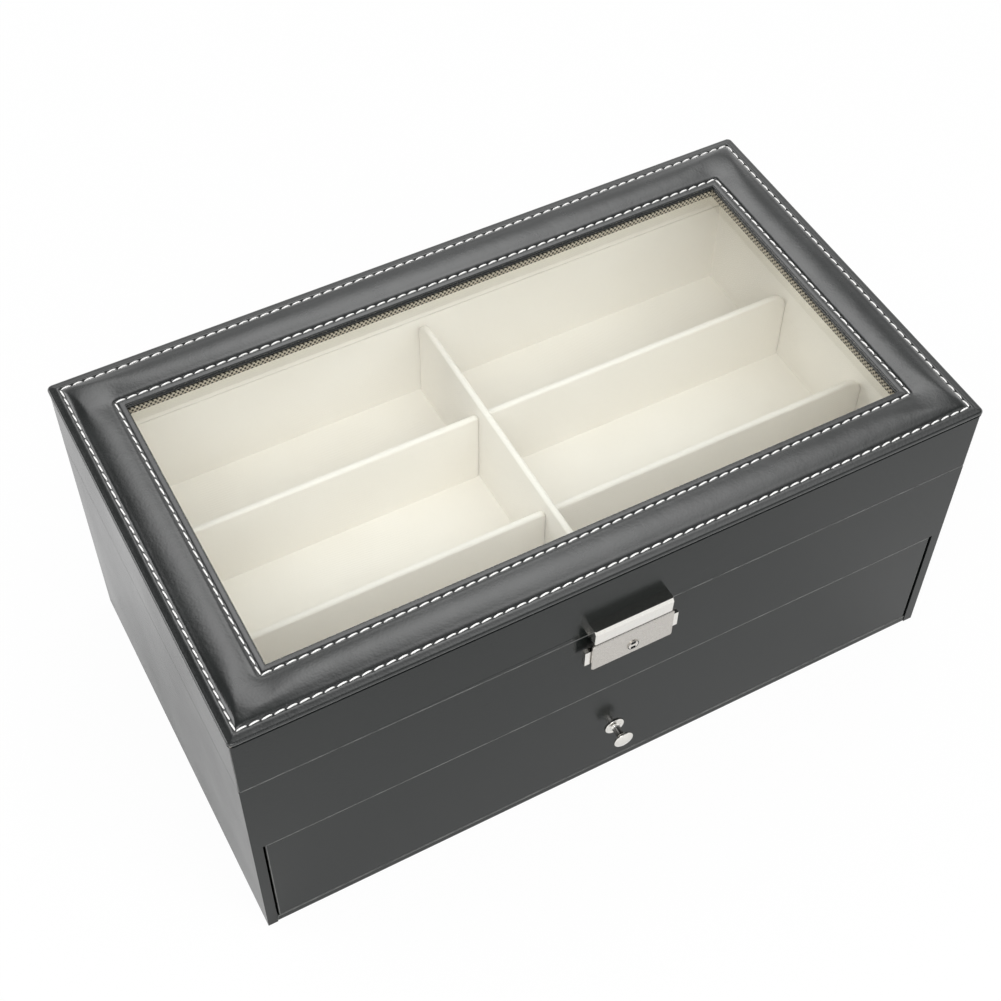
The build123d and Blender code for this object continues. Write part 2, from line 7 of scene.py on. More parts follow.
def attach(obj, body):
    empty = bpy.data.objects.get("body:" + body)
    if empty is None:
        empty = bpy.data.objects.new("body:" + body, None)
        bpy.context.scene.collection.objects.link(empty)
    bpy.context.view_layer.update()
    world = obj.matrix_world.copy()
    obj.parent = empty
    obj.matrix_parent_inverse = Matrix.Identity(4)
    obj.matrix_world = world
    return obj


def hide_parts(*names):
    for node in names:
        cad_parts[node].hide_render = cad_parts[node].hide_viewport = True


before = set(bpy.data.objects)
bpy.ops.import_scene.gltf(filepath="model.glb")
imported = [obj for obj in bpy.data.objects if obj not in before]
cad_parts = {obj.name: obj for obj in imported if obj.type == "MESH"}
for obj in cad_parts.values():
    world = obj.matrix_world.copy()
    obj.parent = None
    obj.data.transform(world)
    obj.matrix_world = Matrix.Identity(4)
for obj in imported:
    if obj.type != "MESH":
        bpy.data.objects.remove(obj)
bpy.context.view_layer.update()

MM = 0.001

# Case walls and base.
# Fibreboard panels wrapped in black polyurethane leather and glued into a box. The front edges of the
# side panels and of the base are wrapped too, and show as a narrow frame round the drawer.


def node(tree, kind, feed=None, **settings):
    """Adds one node. settings are its own options, and feed says what each input gets: a value or a link."""
    made = tree.nodes.new(kind)
    for name, value in settings.items():
        setattr(made, name, value)
    for name, source in (feed or {}).items():
        if isinstance(source, bpy.types.NodeSocket):
            tree.links.new(source, made.inputs[name])
        else:
            made.inputs[name].default_value = source
    return made


def colour(hexes):
    """The linear colour of an sRGB hex value."""
    parts = [int(hexes[at : at + 2], 16) / 255 for at in (1, 3, 5)]
    return [part / 12.92 if part <= 0.04045 else ((part + 0.055) / 1.055) ** 2.4 for part in parts] + [1.0]


def finish_named(name):
    """An empty material with its output node, and the object coordinates that its patterns follow."""
    material = bpy.data.materials.new(name)
    material.use_nodes = True
    tree = material.node_tree
    tree.nodes.clear()
    out = tree.nodes.new("ShaderNodeOutputMaterial")
    place = tree.nodes.new("ShaderNodeTexCoord").outputs["Object"]
    return material, tree, out, place


def cover(names, material):
    """Gives CAD pieces their finish."""
    for name in names:
        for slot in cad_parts[name].material_slots:
            slot.material = material


def soften(names, radius, worn_and_highlit, steps=3):
    """Rounds CAD pieces' arrises, as a wrapped edge is rounded, with the worn and painted-highlight finish.
    """
    for name in names:
        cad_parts[name].data.materials.append(worn_and_highlit)
        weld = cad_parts[name].modifiers.new("weld", "WELD")
        weld.merge_threshold = 0.00001
        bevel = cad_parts[name].modifiers.new("arris", "BEVEL")
        bevel.width = radius * MM
        bevel.segments = steps
        bevel.limit_method = "ANGLE"
        bevel.angle_limit = math.radians(50)
        bevel.harden_normals = True
        bevel.material = len(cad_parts[name].material_slots) - 1


# Calendered polyurethane leather, black: a smooth pressed skin with a fine pebble grain, a soft grey sheen
# at low angles and slightly uneven gloss where it was stretched over the board.
case_leather, tree, out, place = finish_named("black_polyurethane_leather")
GRAIN = 0.9  # mm across a pebble; the real one is about 0.4, drawn coarser so that it shows
pebble = node(
    tree,
    "ShaderNodeTexVoronoi",
    {"Vector": place, "Scale": 1 / (GRAIN * MM)},
    feature="SMOOTH_F1",
)
CLOUD = 71.4  # mm across a patch of duller or brighter skin
drift = node(tree, "ShaderNodeTexNoise", {"Vector": place, "Scale": 1 / (CLOUD * MM), "Detail": 3.0})
skin = node(
    tree,
    "ShaderNodeMix",
    {0: drift.outputs["Fac"], 6: colour("#101312"), 7: colour("#161a19")},
    data_type="RGBA",
)
gloss = node(
    tree,
    "ShaderNodeMapRange",
    {"Value": drift.outputs["Fac"], "From Min": 0.3, "From Max": 0.7, "To Min": 0.18, "To Max": 0.25},
)
press = node(
    tree,
    "ShaderNodeBump",
    {"Height": pebble.outputs["Distance"], "Strength": 0.12, "Distance": 0.0002},
)
leather = node(
    tree,
    "ShaderNodeBsdfPrincipled",
    {
        "Base Color": skin.outputs[2],
        "Roughness": gloss.outputs[0],
        "Normal": press.outputs[0],
        "IOR": 1.31,
    },
)
tree.links.new(leather.outputs[0], out.inputs["Surface"])

# The same leather where it folds over a board's edge: stretched and rubbed paler, in broken patches, and
# paler still as a painted highlight, standing for the light caught along each rounded arris.
worn_and_highlit_fold, tree, out, place = finish_named("rubbed_and_highlit_leather_fold")
PALE_PATCH = 7.69  # mm from one pale patch to the next
pale_patches = node(
    tree,
    "ShaderNodeTexNoise",
    {"Vector": place, "Scale": 1 / (PALE_PATCH * MM), "Detail": 5.0, "Roughness": 0.65},
)
rubbed_and_highlit = node(
    tree,
    "ShaderNodeMapRange",
    {"Value": pale_patches.outputs["Fac"], "From Min": 0.25, "From Max": 0.8},
)
fold_tone = node(
    tree,
    "ShaderNodeMix",
    {0: rubbed_and_highlit.outputs[0], 6: colour("#333434"), 7: colour("#747573")},
    data_type="RGBA",
)
fold_gloss = node(
    tree,
    "ShaderNodeMapRange",
    {"Value": pale_patches.outputs["Fac"], "From Min": 0.3, "From Max": 0.7, "To Min": 0.3, "To Max": 0.5},
)
fold_skin = node(tree, "ShaderNodeBump", {"Height": pale_patches.outputs["Fac"], "Strength": 0.2, "Distance": 0.0003})
fold = node(
    tree,
    "ShaderNodeBsdfPrincipled",
    {
        "Base Color": fold_tone.outputs[2],
        "Roughness": fold_gloss.outputs[0],
        "Normal": fold_skin.outputs[0],
        "IOR": 1.45,
    },
)
tree.links.new(fold.outputs[0], out.inputs["Surface"])

CASE_BOARDS = ["base_panel", "side_panel_left", "side_panel_right", "back_panel"]
cover(CASE_BOARDS, case_leather)
soften(CASE_BOARDS, 0.5, worn_and_highlit_fold)

# Front rail above the drawer.
# A wrapped board mitred into the side panels, with rounded lower corners. Its skin is folded over its top.

cover(["front_rail"], case_leather)
soften(["front_rail"], 0.35, worn_and_highlit_fold)

RAIL_FACE = -94.3
RAIL_TOP = 115.0
RAIL_HALF = 166.6
FOLD = 0.26  # radius of the rolled edge, which nearly closes the gap under the lid
FOLD_RISE = 0.05  # how far its middle stands above the rail
FOLD_STEP = 2.5  # mm between the rings of its mesh
FOLD_SWELL = 0.18  # share by which it swells and thins
FOLD_RIPPLE = 9  # mm from one swelling to the next


def rolled_edge(name, ends, radius, body):
    """A soft roll of leather along a board's edge, a little uneven, as a folded skin is."""
    start, end = (Vector(point) for point in ends)
    along = (end - start).normalized()
    across = Vector((0, 0, 1)).cross(along)
    length = (end - start).length
    count = int(length / FOLD_STEP)
    around = 10
    vertices = []
    faces = []
    for ring in range(count + 1):
        middle = start + along * (length * ring / count)
        swell = radius * (1 + FOLD_SWELL * noise.noise(middle / FOLD_RIPPLE))
        for spoke in range(around):
            turn = 2 * math.pi * spoke / around
            point = middle + across * swell * math.cos(turn) + Vector((0, 0, swell * math.sin(turn)))
            vertices.append(point * MM)
    for ring in range(count):
        for spoke in range(around):
            after = (spoke + 1) % around
            low = ring * around
            faces.append((low + spoke, low + after, low + around + after, low + around + spoke))
    faces.append(tuple(reversed(range(around))))
    faces.append(tuple(count * around + spoke for spoke in range(around)))
    mesh = bpy.data.meshes.new(name)
    mesh.from_pydata(vertices, [], faces)
    mesh.polygons.foreach_set("use_smooth", [True] * len(mesh.polygons))
    mesh.update()
    roll = bpy.data.objects.new(name, mesh)
    bpy.context.scene.collection.objects.link(roll)
    roll.data.materials.append(worn_and_highlit_fold)
    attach(roll, body)
    return roll


# Its pale roll is partly a painted highlight, so that the gap under the lid shows as a light line.
rolled_edge(
    "rail_top_fold",
    [(end, RAIL_FACE + FOLD, RAIL_TOP + FOLD_RISE) for end in (-RAIL_HALF, RAIL_HALF)],
    FOLD,
    "case",
)

# Tray shelf.
# Grey paperboard that carries the tray and closes the drawer bay; its underside shows with the drawer out.

# Greyboard: pressed waste paper, matt, with flecks of darker and paler fibre.
grey_board, tree, out, place = finish_named("pressed_greyboard")
FLECK = 1.11  # mm between flecks of fibre; the real ones are about 0.5, drawn coarser so that they show
fleck = node(
    tree,
    "ShaderNodeTexNoise",
    {"Vector": place, "Scale": 1 / (FLECK * MM), "Detail": 4.0, "Roughness": 0.7},
)
fibre = node(
    tree,
    "ShaderNodeMix",
    {0: fleck.outputs["Fac"], 6: colour("#77736c"), 7: colour("#a39e95")},
    data_type="RGBA",
)
felt_side = node(
    tree,
    "ShaderNodeBump",
    {"Height": fleck.outputs["Fac"], "Strength": 0.3, "Distance": 0.0002},
)
board = node(
    tree,
    "ShaderNodeBsdfPrincipled",
    {"Base Color": fibre.outputs[2], "Roughness": 0.92, "Normal": felt_side.outputs[0]},
)
tree.links.new(board.outputs[0], out.inputs["Surface"])
cover(["tray_shelf"], grey_board)

# Tray lining and its dividers.
# Thin card wrapped in cream brushed cloth: a floor, four walls, one long divider from front to back and
# four lower cross dividers, all with a soft rounded fold along the top.

# Brushed polyester lining cloth, cream: a fine rib under a short nap that catches the light.
lining_cloth, tree, out, place = finish_named("brushed_lining_cloth")
RIB = 0.7255  # mm from rib to rib; the real ones are about 0.5, drawn coarser so that they show
DIAGONAL_WAVE = 2 * math.pi / (10 * math.sqrt(3))  # from band to band of a diagonal wave at scale 1
rib = node(
    tree,
    "ShaderNodeTexWave",
    {"Vector": place, "Scale": DIAGONAL_WAVE / (RIB * MM), "Distortion": 1.5, "Detail": 1.0},
    wave_type="BANDS",
    bands_direction="DIAGONAL",
)
NAP = 0.667  # mm between tufts; the real ones are about 0.2, drawn coarser so that they show
nap = node(tree, "ShaderNodeTexNoise", {"Vector": place, "Scale": 1 / (NAP * MM), "Detail": 2.0})
SHADE = 33.3  # mm across a slightly deeper patch of the dye
smudge = node(tree, "ShaderNodeTexNoise", {"Vector": place, "Scale": 1 / (SHADE * MM), "Detail": 3.0})
height = node(
    tree, "ShaderNodeMix", {0: 0.5, 2: rib.outputs["Fac"], 3: nap.outputs["Fac"]}, data_type="FLOAT"
)
weave = node(tree, "ShaderNodeBump", {"Height": height.outputs[0], "Strength": 0.16, "Distance": 0.0003})
tone = node(
    tree,
    "ShaderNodeMix",
    {0: smudge.outputs["Fac"], 6: colour("#fbf7f0"), 7: colour("#f5f0e7")},
    data_type="RGBA",
)
cloth = node(
    tree,
    "ShaderNodeBsdfPrincipled",
    {
        "Base Color": tone.outputs[2],
        "Roughness": 0.88,
        "Normal": weave.outputs[0],
        "Sheen Weight": 0.25,
        "Sheen Roughness": 0.5,
    },
)
tree.links.new(cloth.outputs[0], out.inputs["Surface"])
TRAY_CLOTH = [
    "tray_floor_lining",
    "tray_wall_lining",
    "tray_centre_divider",
    "tray_divider_left_front",
    "tray_divider_left_rear",
    "tray_divider_right_front",
    "tray_divider_right_rear",
]
cover(TRAY_CLOTH, lining_cloth)

# Drawer.
# A wrapped front board on a low box of wrapped boards, with a greyboard bottom, and lined and divided
# as the tray. It slides between the side panels under the tray shelf.

DRAWER_BOARDS = ["drawer_front", "drawer_side_left", "drawer_side_right", "drawer_back"]
cover(DRAWER_BOARDS, case_leather)
soften(DRAWER_BOARDS, 0.5, worn_and_highlit_fold)
cover(["drawer_bottom"], grey_board)
DRAWER_CLOTH = [
    "drawer_floor_lining",
    "drawer_wall_lining",
    "drawer_centre_divider",
    "drawer_divider_left_front",
    "drawer_divider_left_rear",
    "drawer_divider_right_front",
    "drawer_divider_right_rear",
]
cover(DRAWER_CLOTH, lining_cloth)

# Drawer knob.
# A turned brass pull with a bright nickel plating: a round rosette, a thin stem and a mushroom head, drawn
# up by a steel screw from inside the drawer front.

# Bright nickel plating: a warm grey mirror with fine polishing marks.
bright_nickel, tree, out, place = finish_named("bright_nickel_plating")
BUFF = 1.43  # mm between polishing marks, drawn coarser than the real ones so that they show
buffing = node(tree, "ShaderNodeTexNoise", {"Vector": place, "Scale": 1 / (BUFF * MM), "Detail": 3.0})
haze = node(
    tree,
    "ShaderNodeMapRange",
    {"Value": buffing.outputs["Fac"], "From Min": 0.3, "From Max": 0.7, "To Min": 0.07, "To Max": 0.15},
)
marks = node(
    tree,
    "ShaderNodeBump",
    {"Height": buffing.outputs["Fac"], "Strength": 0.03, "Distance": 0.0001},
)
nickel_tone = node(
    tree,
    "ShaderNodeMix",
    {0: buffing.outputs["Fac"], 6: colour("#f1efea"), 7: colour("#e6e3dd")},
    data_type="RGBA",
)
nickel = node(
    tree,
    "ShaderNodeBsdfPrincipled",
    {
        "Base Color": nickel_tone.outputs[2],
        "Metallic": 1.0,
        "Roughness": haze.outputs[0],
        "Normal": marks.outputs[0],
    },
)
tree.links.new(nickel.outputs[0], out.inputs["Surface"])

KNOB_FACE = -94.0
KNOB_Z = 31.6
KNOB_PROFILE = [  # distance from the drawer front, radius
    (0.5, 0.0),
    (0.5, 2.5),
    (0.95, 2.55),
    (1.15, 2.3),
    (1.35, 1.95),
    (2.2, 1.8),
    (4.0, 1.72),
    (5.6, 1.8),
    (6.4, 2.05),
    (6.9, 2.6),
    (7.1, 3.4),
    (7.2, 4.1),
    (7.4, 4.48),
    (7.7, 4.63),
    (8.0, 4.65),
    (8.3, 4.6),
    (8.52, 4.42),
    (8.6, 4.15),
    (8.56, 3.98),
    (8.66, 3.8),
    (8.98, 3.1),
    (9.24, 2.2),
    (9.42, 1.1),
    (9.5, 0.0),
]
ROSETTE_PROFILE = [
    (0.0, 0.0),
    (0.0, 4.55),
    (0.12, 4.68),
    (0.4, 4.7),
    (0.66, 4.6),
    (0.82, 4.36),
    (0.86, 4.08),
    (0.74, 3.84),
    (0.55, 3.7),
    (0.5, 3.3),
    (0.56, 2.9),
    (0.72, 2.62),
    (0.9, 2.5),
    (0.9, 0.0),
]


def turned(name, profile, cad_node):
    """A piece turned about the knob's axis, with a smoothed profile, in place of its CAD node."""
    around = 72
    vertices = []
    faces = []
    for out_by, radius in profile:
        for spoke in range(around):
            turn = 2 * math.pi * spoke / around
            vertices.append(
                (
                    radius * math.cos(turn) * MM,
                    (KNOB_FACE - out_by) * MM,
                    (KNOB_Z + radius * math.sin(turn)) * MM,
                )
            )
    for ring in range(len(profile) - 1):
        for spoke in range(around):
            after = (spoke + 1) % around
            low = ring * around
            faces.append((low + spoke, low + after, low + around + after, low + around + spoke))
    mesh = bpy.data.meshes.new(name)
    mesh.from_pydata(vertices, [], faces)
    mesh.polygons.foreach_set("use_smooth", [True] * len(mesh.polygons))
    mesh.update()
    piece = bpy.data.objects.new(name, mesh)
    bpy.context.scene.collection.objects.link(piece)
    weld = piece.modifiers.new("weld", "WELD")
    weld.merge_threshold = 0.00001
    smooth = piece.modifiers.new("turning", "SUBSURF")
    smooth.levels = 1
    smooth.render_levels = 1
    piece.data.materials.append(bright_nickel)
    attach(piece, "drawer")
    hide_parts(cad_node)
    return piece


turned("turned_knob", KNOB_PROFILE, "drawer_knob")
turned("knob_backplate", ROSETTE_PROFILE, "knob_rosette")
cover(["drawer_knob", "knob_rosette"], bright_nickel)

# Bright zinc plated steel screws: cold headed, dull silver with a slight mottle.
zinc_steel, tree, out, place = finish_named("zinc_plated_steel")
MOTTLE = 0.833  # mm across a duller spot of the zinc
mottle = node(tree, "ShaderNodeTexNoise", {"Vector": place, "Scale": 1 / (MOTTLE * MM), "Detail": 2.0})
dull = node(
    tree,
    "ShaderNodeMapRange",
    {"Value": mottle.outputs["Fac"], "From Min": 0.3, "From Max": 0.7, "To Min": 0.25, "To Max": 0.42},
)
zinc_tone = node(
    tree,
    "ShaderNodeMix",
    {0: mottle.outputs["Fac"], 6: colour("#b9bbbd"), 7: colour("#a2a4a7")},
    data_type="RGBA",
)
zinc = node(
    tree,
    "ShaderNodeBsdfPrincipled",
    {"Base Color": zinc_tone.outputs[2], "Metallic": 1.0, "Roughness": dull.outputs[0]},
)
tree.links.new(zinc.outputs[0], out.inputs["Surface"])
cover(["knob_screw"], zinc_steel)

# Lid walls.
# Four boards mitred at the corners and wrapped in the same leather as the case.

LID_BOARDS = ["lid_wall_front", "lid_wall_back", "lid_wall_left", "lid_wall_right"]
cover(LID_BOARDS, case_leather)
soften(LID_BOARDS, 0.35, worn_and_highlit_fold)

# Lid boards.
# The lid panel carries the window, and the top board above it carries the padding.

cover(["lid_panel", "top_board"], grey_board)

# Padding.
# A strip of open-cell foam between the top board and its covering; the covering hides all of it.

# Polyether foam: matt, pale, with open cells.
cell_foam, tree, out, place = finish_named("polyether_foam")
CELL = 0.8  # mm across an open cell
cells = node(tree, "ShaderNodeTexVoronoi", {"Vector": place, "Scale": 1 / (CELL * MM)})
foam_tone = node(
    tree,
    "ShaderNodeMix",
    {0: cells.outputs["Distance"], 6: colour("#d9d3bf"), 7: colour("#efe9d8")},
    data_type="RGBA",
)
pits = node(
    tree,
    "ShaderNodeBump",
    {"Height": cells.outputs["Distance"], "Strength": 0.5, "Distance": 0.0004},
)
foam = node(
    tree,
    "ShaderNodeBsdfPrincipled",
    {"Base Color": foam_tone.outputs[2], "Roughness": 0.95, "Normal": pits.outputs[0]},
)
tree.links.new(foam.outputs[0], out.inputs["Surface"])
cover(["border_foam"], cell_foam)

# Padded border.
# Soft black leather drawn over foam on the top board, sewn down by two rows of white thread, wrapped round
# the board's outer edge and turned in round the window.

BORDER_HALF_X = 167.5
BORDER_HALF_Y = 96.25
BORDER_MID_Y = 0.65  # the lid stands this far back of the case's middle
BORDER_WIDTH = 25.6  # from the outer edge to the window
BOARD_LOW = 149.0
BOARD_TOP = 150.6
SKIN = 0.8  # from the leather's outside to the board's edge
FLAT_TOP = 152.0
EDGE_FALL = 0.5  # how far the leather falls from the outer seam to the edge
EDGE_TURN = 1.1  # radius of the outer edge
CROWN_TURN = 9.0  # how wide the padding swings round a corner between its two seams
OUTER_ROW = 4.75  # from the outer edge to each seam
INNER_ROW = 22.0
OUTER_CORNER = 2.4  # radius of the border's corners, seen from above
LONG_SIDE = {OUTER_ROW: 66, INNER_ROW: 59}  # stitches along the front and the back
SHORT_SIDE = {OUTER_ROW: 37, INNER_ROW: 30}  # stitches along the ends
STEPS = 8  # columns of the mesh to one stitch
SLACK_STEPS = 2  # columns of the simulated skin to one stitch
SLACK_ROWS = 9  # rows of it from seam to seam
SLACK_RISE = 0.4  # mm by which the skin bows up before it is puffed
SLACK_UNEVEN = 0.3  # mm more or less of that from place to place
RIPPLE = 34  # mm from one such place to the next
PUFFING = 20  # frames of the simulation
MOST_PUFFED = 1.5  # mm
EVENED = 10  # times that the short ripples are evened out
SEAM_SINK = 0.4  # mm that the thread pulls the leather down
HOLE_SINK = 0.3  # mm more at each needle hole
SEAM_HALF = 0.55  # half of the groove's width
SEAM_REACH = 3.5  # mm to each side that a seam shapes
RIDGE = 0.1  # height of the soft ridge beside each groove
RIDGE_AT = 1.5  # mm from the seam to the ridge
RIDGE_HALF = 0.7


def border_sides(inset):
    """The four sides at one inset: where each starts, which way it runs, its length and its stitches."""
    half_x = BORDER_HALF_X - inset
    half_y = BORDER_HALF_Y - inset
    return [
        (Vector((-half_x, -half_y)), Vector((1, 0)), 2 * half_x, LONG_SIDE),
        (Vector((half_x, -half_y)), Vector((0, 1)), 2 * half_y, SHORT_SIDE),
        (Vector((half_x, half_y)), Vector((-1, 0)), 2 * half_x, LONG_SIDE),
        (Vector((-half_x, half_y)), Vector((0, -1)), 2 * half_y, SHORT_SIDE),
    ]


def border_loop(inset, steps):
    """Points all round the border at one inset, each with its distance from the middle of its side."""
    across = min(max((inset - OUTER_ROW) / (INNER_ROW - OUTER_ROW), 0.0), 1.0)
    turn = max(OUTER_CORNER - inset, 0.25) + CROWN_TURN * math.sin(math.pi * across)
    points = []
    for start, along, length, stitches in border_sides(inset):
        inward = Vector((-along.y, along.x))
        count = stitches[OUTER_ROW] * steps
        for at in range(count + 1):
            run = turn + (length - 2 * turn) * at / count
            points.append((start + along * run, run - length / 2, stitches))
        centre = start + along * (length - turn) + inward * turn
        for at in range(1, steps):
            angle = math.radians(90) * at / steps
            spoke = along * math.sin(angle) - inward * math.cos(angle)
            points.append((centre + spoke * turn, length / 2, stitches))
    return points


def between(before, low, high, after, share):
    """A smooth curve through four values, read between the middle two."""
    bend = 2 * before - 5 * low + 4 * high - after
    twist = 3 * (low - high) + after - before
    return low + 0.5 * share * (high - before + share * (bend + share * twist))


def slack_skin():
    """The heights in mm of the leather blown up between its two seams, as cloth ten times its real size."""
    scale = 10 * MM
    vertices = []
    faces = []
    size = 0
    for row in range(SLACK_ROWS):
        inset = OUTER_ROW + (INNER_ROW - OUTER_ROW) * row / (SLACK_ROWS - 1)
        loop = border_loop(inset, SLACK_STEPS)
        size = len(loop)
        rise = math.sin(math.pi * row / (SLACK_ROWS - 1))
        for point, run, stitches in loop:
            ripple = SLACK_UNEVEN * noise.noise(Vector((point.x / RIPPLE, point.y / RIPPLE, 2.0)))
            vertices.append((point.x * scale, point.y * scale, rise * (SLACK_RISE + ripple) * scale))
    for row in range(SLACK_ROWS - 1):
        for at in range(size):
            after = (at + 1) % size
            low = row * size
            faces.append((low + at, low + after, low + size + after, low + size + at))
    mesh = bpy.data.meshes.new("slack_skin")
    mesh.from_pydata(vertices, [], faces)
    skin = bpy.data.objects.new("slack_skin", mesh)
    bpy.context.scene.collection.objects.link(skin)
    sewn = skin.vertex_groups.new(name="sewn")
    sewn.add(list(range(size)) + list(range((SLACK_ROWS - 1) * size, SLACK_ROWS * size)), 1.0, "REPLACE")
    cloth = skin.modifiers.new("puffing", "CLOTH")
    cloth.settings.vertex_group_mass = "sewn"
    cloth.settings.use_pressure = True
    cloth.settings.uniform_pressure_force = 4
    cloth.settings.mass = 0.3
    cloth.settings.quality = 6
    cloth.settings.shrink_min = -0.004
    cloth.settings.bending_stiffness = 8
    cloth.settings.effector_weights.gravity = 0
    cloth.point_cache.frame_start = 1
    cloth.point_cache.frame_end = PUFFING
    for moment in range(1, PUFFING + 1):
        bpy.context.scene.frame_set(moment)
    puffed = skin.evaluated_get(bpy.context.evaluated_depsgraph_get()).to_mesh()
    heights = [
        [min(max(puffed.vertices[row * size + at].co.z / scale, 0.0), MOST_PUFFED) for at in range(size)]
        for row in range(SLACK_ROWS)
    ]
    for again in range(EVENED):  # the foam under the real skin does this
        heights = [
            [(row[at - 1] + 2 * row[at] + row[(at + 1) % size]) / 4 for at in range(size)] for row in heights
        ]
    middles = sorted(heights[SLACK_ROWS // 2])
    print("crown of the padded border, mm:", middles[0], middles[size // 2], middles[-1])
    bpy.data.objects.remove(skin)
    bpy.context.scene.frame_set(1)
    return heights


puff = slack_skin()
finer = STEPS // SLACK_STEPS
puff_columns = []
for heights in puff:
    size = len(heights)
    puff_columns.append(
        [
            between(
                heights[at // finer - 1],
                heights[at // finer],
                heights[(at // finer + 1) % size],
                heights[(at // finer + 2) % size],
                at % finer / finer,
            )
            for at in range(size * finer)
        ]
    )


def sewn_height(inset, run, stitches, column):
    """Height of the leather: puffed between the seams, with a groove along each and a pit at each hole."""
    height = FLAT_TOP
    if inset < OUTER_ROW:
        height -= EDGE_FALL * (OUTER_ROW - inset) / (OUTER_ROW - EDGE_TURN)
    for row in (OUTER_ROW, INNER_ROW):
        near = abs(inset - row)
        if near > SEAM_REACH:
            continue
        half = (BORDER_HALF_X if stitches is LONG_SIDE else BORDER_HALF_Y) - row
        hole = math.cos(2 * math.pi * (run + half) / (2 * half / stitches[row]))
        pull = SEAM_SINK + HOLE_SINK * max(hole, 0) ** 4
        height -= pull * math.exp(-((near / SEAM_HALF) ** 2))
        height += RIDGE * math.exp(-(((near - RIDGE_AT) / RIDGE_HALF) ** 2))
    if OUTER_ROW < inset < INNER_ROW:
        place = (inset - OUTER_ROW) / (INNER_ROW - OUTER_ROW) * (SLACK_ROWS - 1)
        low = int(place)
        rows = [puff_columns[min(max(at, 0), SLACK_ROWS - 1)][column] for at in range(low - 1, low + 3)]
        height += between(*rows, place - low)
    return height


TUCK = 1.15  # height of the groove under the rolled lip, where the shine is left off as painted shade
rows = [  # inset and height of the leather where it is wrapped round the outer edge, over that groove
    (SKIN, BOARD_LOW),
    (0.2, BOARD_LOW),
    (0.15, BOARD_LOW + 0.03),
    (0.2, BOARD_LOW + 0.06),
    (0.7, BOARD_LOW + 0.08),
    (0.7, BOARD_LOW + TUCK - 0.1),
    (0.12, BOARD_LOW + TUCK),
    (0.02, BOARD_LOW + TUCK + 0.1),
    (0.0, BOARD_LOW + TUCK + 0.2),
]
for at in range(7):  # the rounded outer edge
    angle = math.radians(90) * at / 6
    fall = EDGE_FALL + EDGE_TURN * (1 - math.sin(angle))
    rows.append((EDGE_TURN * (1 - math.cos(angle)), FLAT_TOP - fall))
inset = 1.5
while inset < BORDER_WIDTH - 1.0:  # the top, with closer rows at the seams; sewn_height gives their heights
    rows.append((inset, None))
    near = min(abs(inset - OUTER_ROW), abs(inset - INNER_ROW))
    inset += 0.25 if near < 1.2 else 0.6
INNER_TURN = 0.65  # radius of the edge at the window
for at in range(6):
    angle = math.radians(90) * at / 5
    fall = INNER_TURN * (1 - math.cos(angle))
    rows.append((BORDER_WIDTH - 0.1 - INNER_TURN * (1 - math.sin(angle)), FLAT_TOP - fall))
rows += [  # a crease, a turned lip with another crease under it, and the underside against the board
    (BORDER_WIDTH - 0.12, FLAT_TOP - 0.8),
    (BORDER_WIDTH - 0.62, FLAT_TOP - 0.95),
    (BORDER_WIDTH - 0.62, FLAT_TOP - 1.25),
    (BORDER_WIDTH + 0.02, FLAT_TOP - 1.35),
    (BORDER_WIDTH + 0.2, FLAT_TOP - 1.55),
    (BORDER_WIDTH + 0.24, FLAT_TOP - 1.8),
    (BORDER_WIDTH + 0.12, FLAT_TOP - 2.05),
    (BORDER_WIDTH - 0.5, FLAT_TOP - 2.2),
    (BORDER_WIDTH - 0.5, BOARD_LOW),
    (BORDER_WIDTH - SKIN, BOARD_LOW),
    (BORDER_WIDTH - SKIN, BOARD_TOP),
    (SKIN, BOARD_TOP),
]

vertices = []
loop_size = 0
for inset, level in rows:
    loop = border_loop(inset, STEPS)
    loop_size = len(loop)
    for column, (point, run, stitches) in enumerate(loop):
        height = sewn_height(inset, run, stitches, column) if level is None else level
        vertices.append((point.x * MM, (point.y + BORDER_MID_Y) * MM, height * MM))
faces = []
for row in range(len(rows)):
    below = row * loop_size
    above = (row + 1) % len(rows) * loop_size
    for at in range(loop_size):
        after = (at + 1) % loop_size
        faces.append((below + at, below + after, above + after, above + at))
border_mesh = bpy.data.meshes.new("padded_border")
border_mesh.from_pydata(vertices, [], faces)
border_mesh.polygons.foreach_set("use_smooth", [True] * len(border_mesh.polygons))
border_mesh.update()
padded_border = bpy.data.objects.new("padded_border", border_mesh)
bpy.context.scene.collection.objects.link(padded_border)
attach(padded_border, "lid")
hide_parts("top_cover")

# Soft polyurethane leather over foam: the same black skin with a clear finish, glossier where it is
# stretched, and slightly uneven where it gives over the foam.
border_leather, tree, out, place = finish_named("soft_black_leather_over_foam")
pebble = node(
    tree,
    "ShaderNodeTexVoronoi",
    {"Vector": place, "Scale": 1 / (GRAIN * MM)},
    feature="SMOOTH_F1",
)
CREASE = 16.7  # mm from one soft hollow to the next
crease = node(
    tree,
    "ShaderNodeTexNoise",
    {"Vector": place, "Scale": 1 / (CREASE * MM), "Detail": 4.0, "Roughness": 0.6},
)
skin = node(
    tree,
    "ShaderNodeMix",
    {0: crease.outputs["Fac"], 6: colour("#121514"), 7: colour("#1c1f1f")},
    data_type="RGBA",
)
gloss = node(
    tree,
    "ShaderNodeMapRange",
    {"Value": crease.outputs["Fac"], "From Min": 0.3, "From Max": 0.7, "To Min": 0.2, "To Max": 0.3},
)
press = node(
    tree,
    "ShaderNodeBump",
    {"Height": pebble.outputs["Distance"], "Strength": 0.12, "Distance": 0.0002},
)
folds = node(
    tree,
    "ShaderNodeBump",
    {"Height": crease.outputs["Fac"], "Strength": 0.1, "Distance": 0.002, "Normal": press.outputs[0]},
)
